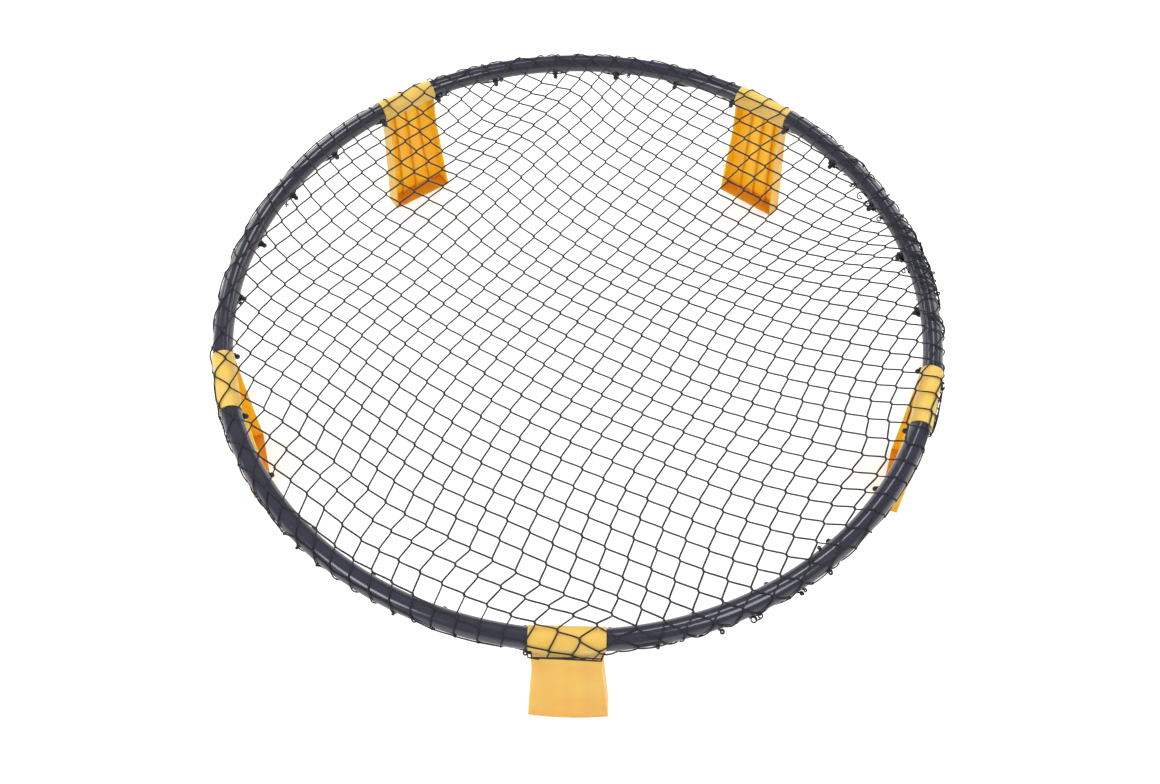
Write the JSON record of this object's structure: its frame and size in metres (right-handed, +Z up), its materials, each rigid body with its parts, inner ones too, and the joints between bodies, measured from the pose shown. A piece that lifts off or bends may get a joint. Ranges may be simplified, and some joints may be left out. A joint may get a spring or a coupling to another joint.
{
  "type": "roundnet set",
  "caption": "Low round net on a tubular ring with flat plastic legs that fold in under it; the net is wrapped over the ring and caught on small hooks.",
  "frame": {"origin": "on the ground under the middle of the ring", "axes": "+Z up; leg 1 stands on -Y, the front, and the other legs follow anticlockwise seen from above"},
  "size_m": [0.922, 0.9314, 0.2185],
  "materials": {
    "rim_tube": "gloss, moulded black-blue",
    "connector": "satin black",
    "leg": "satin yellow",
    "hook": "satin black",
    "net": "twisted nylon twine"
  },
  "bodies": {
    "rim": {"rim_tube_1": "rim_tube", "rim_tube_2": "rim_tube", "rim_tube_3": "rim_tube", "rim_tube_4": "rim_tube", "rim_tube_5": "rim_tube", "connector_1": "connector", "connector_2": "connector", "connector_3": "connector", "connector_4": "connector", "connector_5": "connector", "net_hooks_1": "hook", "net_hooks_2": "hook", "net_hooks_3": "hook", "net_hooks_4": "hook", "net_hooks_5": "hook", "net": "net", "net_skirt": "net", "net_hem": "net"},
    "leg_1": {"leg_1": "leg"},
    "leg_2": {"leg_2": "leg"},
    "leg_3": {"leg_3": "leg"},
    "leg_4": {"leg_4": "leg"},
    "leg_5": {"leg_5": "leg"}
  },
  "joints": [
    {"name": "leg_1_fold", "type": "hinge", "parent": "rim", "child": "leg_1", "pos_m": [0, -0.44308, 0.203], "axis": [1, 0, 0], "range_deg": [0, 90]},
    {"name": "leg_2_fold", "type": "hinge", "parent": "rim", "child": "leg_2", "pos_m": [0.42139, -0.13692, 0.203], "axis": [0.309, 0.9511, 0], "range_deg": [0, 90]},
    {"name": "leg_3_fold", "type": "hinge", "parent": "rim", "child": "leg_3", "pos_m": [0.26044, 0.35846, 0.203], "axis": [-0.809, 0.5878, 0], "range_deg": [0, 90]},
    {"name": "leg_4_fold", "type": "hinge", "parent": "rim", "child": "leg_4", "pos_m": [-0.26044, 0.35846, 0.203], "axis": [-0.809, -0.5878, 0], "range_deg": [0, 90]},
    {"name": "leg_5_fold", "type": "hinge", "parent": "rim", "child": "leg_5", "pos_m": [-0.42139, -0.13692, 0.203], "axis": [0.309, -0.9511, 0], "range_deg": [0, 90]}
  ]
}
